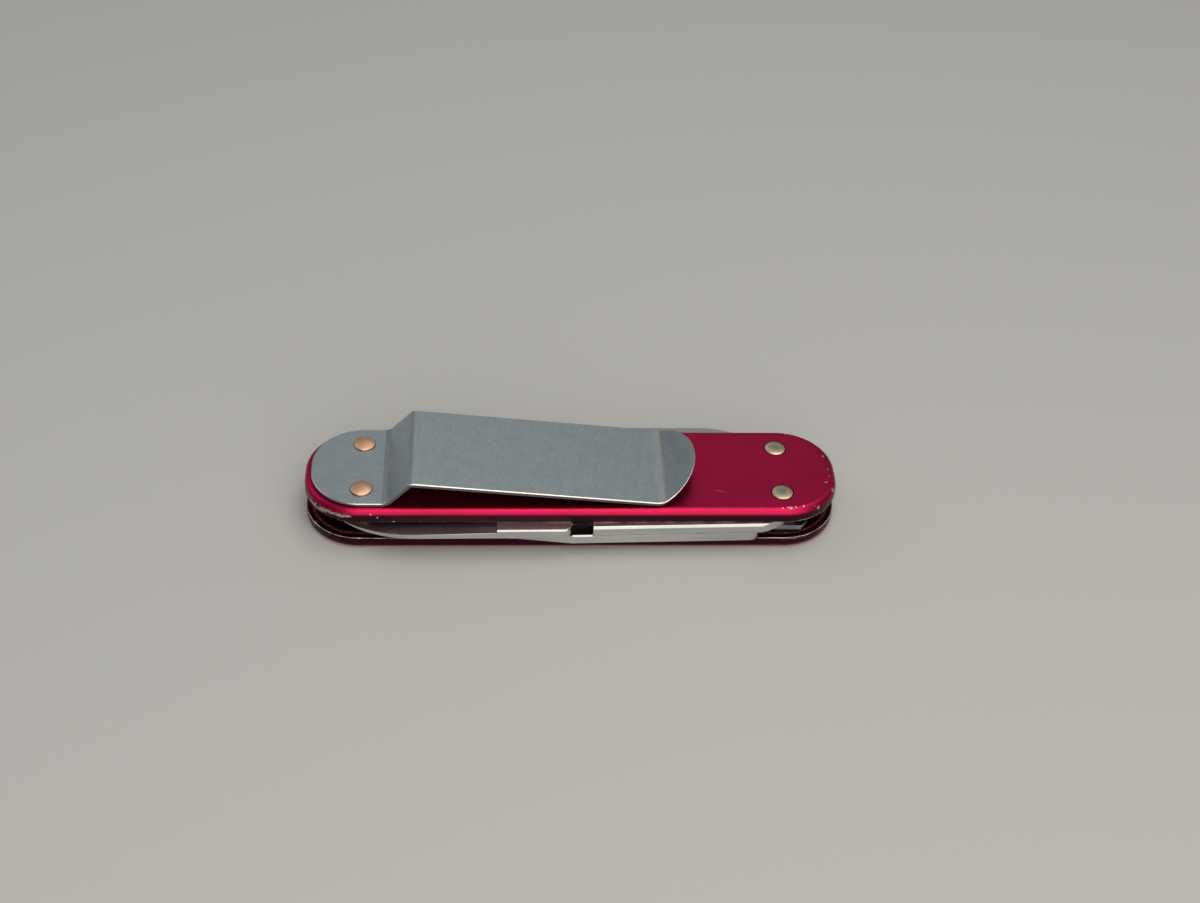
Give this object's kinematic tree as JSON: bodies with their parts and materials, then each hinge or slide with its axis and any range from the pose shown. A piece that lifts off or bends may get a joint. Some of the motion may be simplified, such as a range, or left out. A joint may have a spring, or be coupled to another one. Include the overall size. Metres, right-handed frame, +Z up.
{
  "type": "folding pocket knife",
  "caption": "Slim folding pocket knife with red metal scales, fold-out scissors, nail file and blade, and a sprung money clip riveted on top.",
  "frame": {"origin": "middle of the handle on the flat outer face of the bottom scale", "axes": "+X along the handle from the clip's riveted end to the free end, +Y across the handle towards the blade and file, +Z up through the clip, with all tools folded in"},
  "size_m": [0.074, 0.0218, 0.0111],
  "materials": {
    "red_anodised": "satin red anodised, worn bright along the edges",
    "clip_steel": "fine satin with small scratches",
    "copper": "dull polished copper",
    "brass": "dull polished brass",
    "spring_steel": "ground spring steel",
    "tool_steel": "polished stainless steel"
  },
  "bodies": {
    "handle": {"bottom_scale": "red_anodised", "top_scale": "red_anodised", "money_clip": "clip_steel", "front_left_rivet": "copper", "back_left_rivet": "copper", "front_right_rivet": "brass", "back_right_rivet": "brass", "front_left_spacer": "brass", "back_right_spacer": "brass", "centre_spring": "spring_steel", "left_spring_pin": "spring_steel", "right_spring_pin": "spring_steel"},
    "scissors": {"scissors_arm": "tool_steel", "scissors_washer": "tool_steel", "scissors_joint_rivet": "tool_steel", "leaf_spring": "spring_steel", "leaf_spring_rivet": "tool_steel"},
    "lever": {"scissors_lever": "tool_steel"},
    "file": {"nail_file": "tool_steel"},
    "blade": {"knife_blade": "tool_steel"}
  },
  "joints": [
    {"name": "scissors_fold", "type": "hinge", "parent": "handle", "child": "scissors", "pos_m": [0.029, -0.00468, 0.0042], "axis": [0, 0, 1], "range_deg": [0, 180], "deforming": ["centre_spring"]},
    {"name": "scissors_open", "type": "hinge", "parent": "scissors", "child": "lever", "pos_m": [-0.0046, -0.00638, 0.00345], "axis": [0, 0, -1], "range_deg": [0, 18]},
    {"name": "file_fold", "type": "hinge", "parent": "handle", "child": "file", "pos_m": [-0.029, 0.00468, 0.0042], "axis": [0, 0, 1], "range_deg": [0, 180], "deforming": ["centre_spring"]},
    {"name": "blade_fold", "type": "hinge", "parent": "handle", "child": "blade", "pos_m": [-0.029, 0.00468, 0.0027], "axis": [0, 0, 1], "range_deg": [0, 180], "deforming": ["centre_spring"]}
  ],
  "couplings": [
    {"joint": "scissors_open", "follows": "scissors_fold", "ratio": 0.1}
  ]
}
